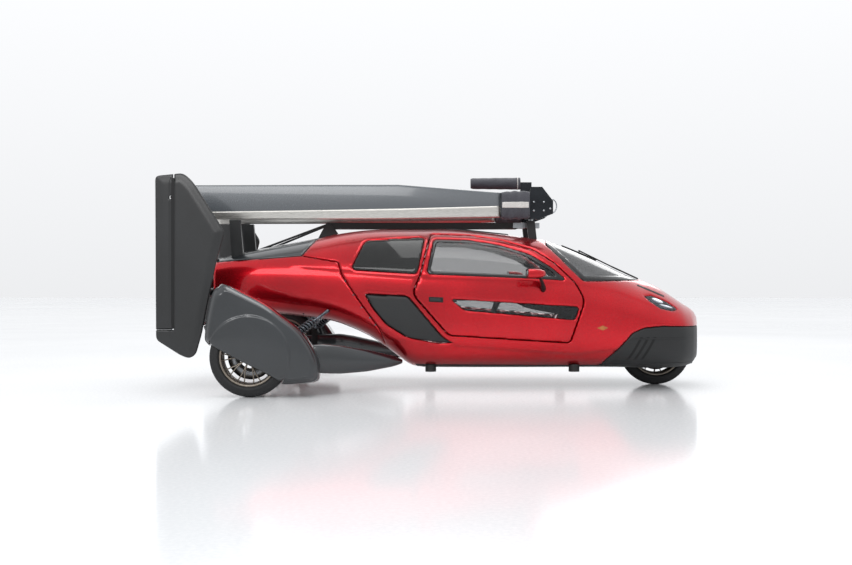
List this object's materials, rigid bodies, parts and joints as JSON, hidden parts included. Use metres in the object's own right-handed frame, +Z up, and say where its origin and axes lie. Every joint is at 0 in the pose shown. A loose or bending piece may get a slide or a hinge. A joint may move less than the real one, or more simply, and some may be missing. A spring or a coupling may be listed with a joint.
{
  "type": "road-going gyrocopter",
  "caption": "Enclosed two-seat gyrocopter with road wheels, parked with its mast folded forward, rotor blades trailing, twin fins drawn in and a pusher propeller.",
  "frame": {"origin": "on the ground, at the centre of the whole object's box seen from above", "axes": "+X to the nose, +Y to the left side, +Z up"},
  "size_m": [4, 2, 1.6209],
  "materials": {
    "body_red": "candy metallic gloss",
    "slate_grey": "gloss",
    "satin_black": "satin",
    "clear_glass": "clear",
    "dark_glass": "smoked",
    "head_lamp": "clear lens",
    "tail_lamp": "red lens",
    "dash_black": "grained",
    "seat_fabric": "woven",
    "bare_metal": "machined",
    "dark_steel": "semi-gloss",
    "tyre_rubber": "matt",
    "rim_bronze": "satin",
    "blade_grey": "gloss composite",
    "cover_fabric": "coated cloth"
  },
  "bodies": {
    "airframe": {"body_shell": "body_red", "engine_cowl": "body_red", "rear_deck": "slate_grey", "front_bumper": "satin_black", "windscreen": "clear_glass", "quarter_windows": "dark_glass", "side_intakes": "satin_black", "headlamps": "head_lamp", "tail_lamps": "tail_lamp", "dashboard": "dash_black", "seat_shells": "dash_black", "seat_cushions": "seat_fabric", "seat_backs": "seat_fabric", "firewall": "bare_metal", "engine_block": "bare_metal", "rear_arms": "slate_grey", "rear_spats": "slate_grey", "rear_shocks": "dark_steel", "wiper": "satin_black", "blade_rests": "dark_steel", "mast_mount": "dark_steel", "steering_head": "dark_steel", "door_hinges": "dash_black", "jack_pads": "satin_black", "boom_sleeves": "bare_metal", "propeller_gearbox": "bare_metal"},
    "steering_wheel": {"steering_wheel": "dash_black"},
    "door_left": {"door_left": "body_red", "door_glass_left": "clear_glass", "mirror_left": "body_red"},
    "door_right": {"door_right": "body_red", "door_glass_right": "clear_glass", "mirror_right": "body_red"},
    "front_fork": {"front_fork": "dark_steel"},
    "front_wheel": {"front_tyre": "tyre_rubber", "front_rim": "rim_bronze"},
    "rear_wheel_left": {"rear_tyre_left": "tyre_rubber", "rear_rim_left": "rim_bronze"},
    "rear_wheel_right": {"rear_tyre_right": "tyre_rubber", "rear_rim_right": "rim_bronze"},
    "mast": {"mast": "dark_steel"},
    "rotor_head": {"rotor_head": "bare_metal"},
    "rotor": {"rotor_hub": "dark_steel", "rotor_blades": "blade_grey", "blade_covers": "cover_fabric"},
    "propeller": {"propeller": "blade_grey"},
    "boom_stage": {"boom_stage": "slate_grey"},
    "tail": {"tail_carrier": "slate_grey", "tail_fins": "satin_black"},
    "rudder_left": {"rudder_left": "satin_black"},
    "rudder_right": {"rudder_right": "satin_black"}
  },
  "joints": [
    {"name": "front_steer", "type": "hinge", "parent": "airframe", "child": "front_fork", "pos_m": [1.685, 0, 0.272], "axis": [0, 0, 1], "range_deg": [-35, 35]},
    {"name": "steering_wheel_turn", "type": "hinge", "parent": "airframe", "child": "steering_wheel", "pos_m": [0.5, 0.262, 0.69], "axis": [-0.9272, 0, 0.3746], "range_deg": [-350, 350]},
    {"name": "front_wheel_spin", "type": "hinge", "parent": "front_fork", "child": "front_wheel", "pos_m": [1.685, 0, 0.272], "axis": [0, 1, 0], "continuous": true},
    {"name": "rear_wheel_left_spin", "type": "hinge", "parent": "airframe", "child": "rear_wheel_left", "pos_m": [-1.311, 0.895, 0.277], "axis": [0, 1, 0], "continuous": true},
    {"name": "rear_wheel_right_spin", "type": "hinge", "parent": "airframe", "child": "rear_wheel_right", "pos_m": [-1.311, -0.895, 0.277], "axis": [0, 1, 0], "continuous": true},
    {"name": "door_left_open", "type": "hinge", "parent": "airframe", "child": "door_left", "pos_m": [1.12, 0.59685, 0.54], "axis": [0, 0, -1], "range_deg": [0, 65]},
    {"name": "door_right_open", "type": "hinge", "parent": "airframe", "child": "door_right", "pos_m": [1.12, -0.59685, 0.54], "axis": [0, 0, 1], "range_deg": [0, 65]},
    {"name": "mast_fold", "type": "hinge", "parent": "airframe", "child": "mast", "pos_m": [-0.85, 0, 1.229], "axis": [0, -1, 0], "range_deg": [0, 90]},
    {"name": "rotor_level", "type": "hinge", "parent": "mast", "child": "rotor_head", "pos_m": [0.6, 0, 1.229], "axis": [0, -1, 0], "range_deg": [-90, 0]},
    {"name": "rotor_spin", "type": "hinge", "parent": "rotor_head", "child": "rotor", "pos_m": [0.72, 0, 1.3], "axis": [0, 0, 1], "continuous": true},
    {"name": "propeller_spin", "type": "hinge", "parent": "airframe", "child": "propeller", "pos_m": [-1.72, 0, 0.86], "axis": [1, 0, 0], "continuous": true},
    {"name": "boom_extend", "type": "slide", "parent": "airframe", "child": "boom_stage", "axis": [-1, 0, 0], "range_m": [0, 0.92]},
    {"name": "tail_extend", "type": "slide", "parent": "boom_stage", "child": "tail", "axis": [-1, 0, 0], "range_m": [0, 0.92]},
    {"name": "rudder_left_turn", "type": "hinge", "parent": "tail", "child": "rudder_left", "pos_m": [-1.885, 0.775, 1], "axis": [0, 0, 1], "range_deg": [-25, 25]},
    {"name": "rudder_right_turn", "type": "hinge", "parent": "tail", "child": "rudder_right", "pos_m": [-1.885, -0.775, 1], "axis": [0, 0, 1], "range_deg": [-25, 25]}
  ],
  "couplings": [
    {"joint": "steering_wheel_turn", "follows": "front_steer", "ratio": 10},
    {"joint": "rotor_level", "follows": "mast_fold", "ratio": -1},
    {"joint": "tail_extend", "follows": "boom_extend", "ratio": 1},
    {"joint": "rudder_right_turn", "follows": "rudder_left_turn", "ratio": 1}
  ]
}
